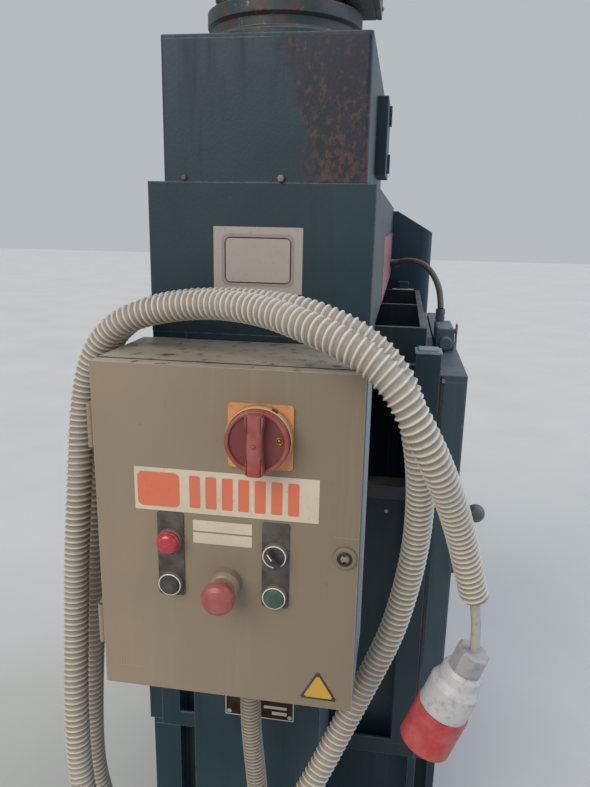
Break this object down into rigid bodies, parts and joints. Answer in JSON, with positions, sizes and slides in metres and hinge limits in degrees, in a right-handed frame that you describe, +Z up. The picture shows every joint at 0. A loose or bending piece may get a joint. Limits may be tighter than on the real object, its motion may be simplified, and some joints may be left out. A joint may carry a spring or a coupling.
{
  "type": "waste compactor",
  "caption": "Side-loaded hydraulic waste compactor with press plate on guide rails, hinged loading door with latch lever, oil tank with motor, control box, conduits and plug.",
  "frame": {"origin": "on the floor, on the underside of the tie plate in the middle of the base", "axes": "+Z up, +Y from the control end to the rear column, +X towards the loading side"},
  "size_m": [0.651, 1.6165, 2.086],
  "materials": {
    "machine_paint": "dark green-grey enamel, scuffed",
    "column_paint": "dark blue-grey enamel",
    "enclosure_paint": "pebble grey powder coat, dusty",
    "motor_paint": "dark green-grey machinery paint on castings",
    "bare_steel": "machined",
    "chromed_rod": "ground and chromed",
    "cast_steel": "cylinder enamel",
    "nylon": "natural nylon",
    "black_plastic": "semi-gloss",
    "grey_plastic": "moulded",
    "galvanised": "zinc plated",
    "switch_housing": "die cast, blue-grey",
    "legend_black": "satin",
    "bezel_grey": "smoked, worn",
    "red_lens": "tinted polycarbonate",
    "green_plastic": "moulded",
    "red_plastic": "moulded, faded",
    "orange_plastic": "moulded",
    "dark_red_plastic": "moulded",
    "conduit_cream": "ribbed, dusty",
    "conduit_grey": "ribbed",
    "cable_grey": "matt sheath",
    "plug_grey": "moulded, dusty",
    "brass_pins": "turned"
  },
  "bodies": {
    "machine": {"base_frame": "machine_paint", "chamber_floor": "machine_paint", "conduit_fittings": "grey_plastic", "control_gear": "grey_plastic", "corner_post": "machine_paint", "cylinder_barrel": "cast_steel", "door_hinges_fixed": "bare_steel", "enclosure_body": "enclosure_paint", "fan_cowl": "motor_paint", "filler_cap": "grey_plastic", "front_column": "machine_paint", "front_legs": "machine_paint", "front_wall": "machine_paint", "head_beam": "machine_paint", "left_side_wall": "machine_paint", "motor_adaptor": "motor_paint", "motor_body": "motor_paint", "motor_conduit": "conduit_grey", "mounting_plate": "galvanised", "oil_tank": "machine_paint", "plug_body": "plug_grey", "plug_collar": "red_plastic", "plug_nut": "plug_grey", "plug_pins": "brass_pins", "pressure_pipes": "bare_steel", "pump": "motor_paint", "rear_column": "column_paint", "right_side_frame": "machine_paint", "rod_gland": "bare_steel", "safety_switch": "switch_housing", "supply_cable": "cable_grey", "supply_conduit": "conduit_cream", "switch_conduit": "conduit_grey", "switch_glands": "switch_housing", "tank_lid": "machine_paint", "tank_side_cover": "machine_paint", "terminal_box": "grey_plastic", "valve_block": "motor_paint"},
    "enclosure_door": {"enclosure_door": "enclosure_paint", "legend_plates": "legend_black", "device_bezels": "bezel_grey", "contact_blocks": "black_plastic", "lamp_lens": "red_lens", "main_switch_plate": "orange_plastic"},
    "main_switch": {"main_switch_handle": "dark_red_plastic"},
    "selector": {"selector_knob": "black_plastic"},
    "black_button": {"button_black": "black_plastic"},
    "green_button": {"button_green": "green_plastic"},
    "stop_button": {"emergency_stop": "red_plastic"},
    "lock": {"door_lock": "bare_steel"},
    "press": {"press_plate": "machine_paint", "piston_rod": "chromed_rod", "guide_shoes": "nylon"},
    "loading_door": {"loading_door": "machine_paint", "switch_actuator": "bare_steel"},
    "lever": {"latch_lever": "bare_steel", "ball_knob": "black_plastic"},
    "plunger": {"switch_plunger": "bare_steel"},
    "rotor": {"motor_rotor": "galvanised"}
  },
  "joints": [
    {"name": "enclosure_door_hinge", "type": "hinge", "parent": "machine", "child": "enclosure_door", "pos_m": [-0.1585, -0.811, 1.15], "axis": [0, 0, -1], "range_deg": [0, 110]},
    {"name": "main_switch_turn", "type": "hinge", "parent": "enclosure_door", "child": "main_switch", "pos_m": [0.0378, -0.84, 1.2785], "axis": [0, 1, 0], "range_deg": [0, 90]},
    {"name": "selector_turn", "type": "hinge", "parent": "enclosure_door", "child": "selector", "pos_m": [0.0555, -0.83, 1.143], "axis": [0, 1, 0], "range_deg": [0, 72]},
    {"name": "black_button_press", "type": "slide", "parent": "enclosure_door", "child": "black_button", "axis": [0, 1, 0], "range_m": [0, 0.0035], "stiffness_N_per_m": 900, "springref_m": -0.003},
    {"name": "green_button_press", "type": "slide", "parent": "enclosure_door", "child": "green_button", "axis": [0, 1, 0], "range_m": [0, 0.0035], "stiffness_N_per_m": 900, "springref_m": -0.003},
    {"name": "stop_button_press", "type": "slide", "parent": "enclosure_door", "child": "stop_button", "axis": [0, 1, 0], "range_m": [0, 0.005]},
    {"name": "lock_turn", "type": "hinge", "parent": "enclosure_door", "child": "lock", "pos_m": [0.1325, -0.81, 1.1456], "axis": [0, -1, 0], "range_deg": [0, 90]},
    {"name": "press_stroke", "type": "slide", "parent": "machine", "child": "press", "axis": [0, 0, -1], "range_m": [0, 0.6]},
    {"name": "loading_door_hinge", "type": "hinge", "parent": "machine", "child": "loading_door", "pos_m": [0.306, 0.446, 1], "axis": [0, 0, 1], "range_deg": [0, 110]},
    {"name": "lever_turn", "type": "hinge", "parent": "loading_door", "child": "lever", "pos_m": [0.3045, -0.235, 0.885], "axis": [1, 0, 0], "range_deg": [0, 60]},
    {"name": "plunger_press", "type": "slide", "parent": "machine", "child": "plunger", "axis": [-1, 0, 0], "range_m": [0, 0.0035], "stiffness_N_per_m": 900, "springref_m": -0.003},
    {"name": "rotor_spin", "type": "hinge", "parent": "machine", "child": "rotor", "pos_m": [0.004, -0.52, 1.88], "axis": [0, 0, 1], "continuous": true}
  ]
}
